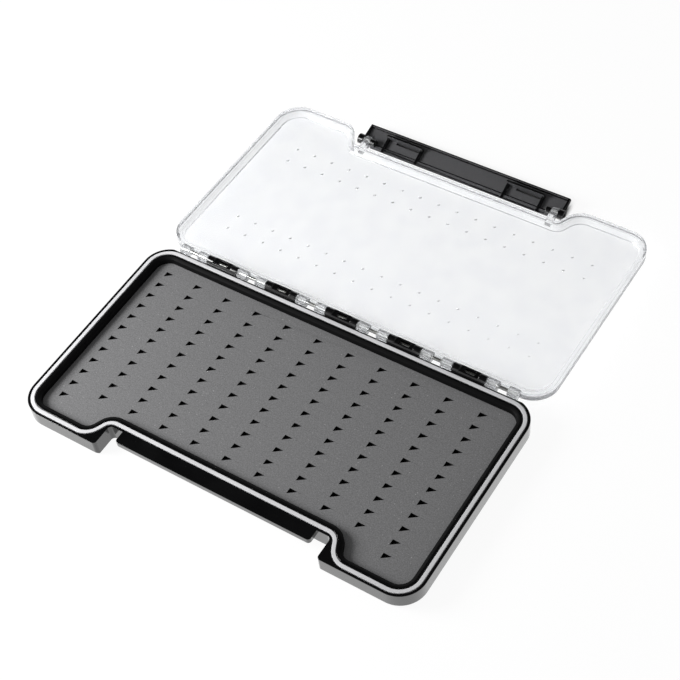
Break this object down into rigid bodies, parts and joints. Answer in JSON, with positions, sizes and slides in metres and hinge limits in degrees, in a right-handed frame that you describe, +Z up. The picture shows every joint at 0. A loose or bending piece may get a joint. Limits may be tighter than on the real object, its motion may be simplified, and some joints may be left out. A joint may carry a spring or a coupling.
{
  "type": "fly box",
  "caption": "Slim waterproof box for fishing flies: black tray with slit insert and gasket, hinged clear lid, and a hooked latch flap pivoting on the lid.",
  "frame": {"origin": "centre of the tray's flat underside", "axes": "+X along the box's length, +Y from the latch side towards the hinge, +Z up out of the tray; the lid lies open behind the tray"},
  "size_m": [0.188, 0.2087, 0.0102],
  "materials": {
    "black_abs": "gloss",
    "white_silicone": "satin",
    "grey_silicone": "matte",
    "adhesive_film": "matte",
    "stainless_wire": "drawn",
    "clear_polycarbonate": "clear gloss"
  },
  "bodies": {
    "base": {"base_tray": "black_abs", "seal_gasket": "white_silicone", "slit_insert": "grey_silicone", "insert_adhesive": "adhesive_film", "hinge_pin": "stainless_wire"},
    "lid": {"lid_shell": "clear_polycarbonate", "latch_pin_left": "stainless_wire", "latch_pin_right": "stainless_wire"},
    "latch": {"latch_flap": "black_abs"}
  },
  "joints": [
    {"name": "lid_hinge", "type": "hinge", "parent": "base", "child": "lid", "pos_m": [0, 0.0519, 0.008], "axis": [1, 0, 0], "range_deg": [0, 181.4]},
    {"name": "latch_hinge", "type": "hinge", "parent": "lid", "child": "latch", "pos_m": [0, 0.14922, 0.00368], "axis": [1, 0, 0], "range_deg": [-19.5, 69]}
  ]
}
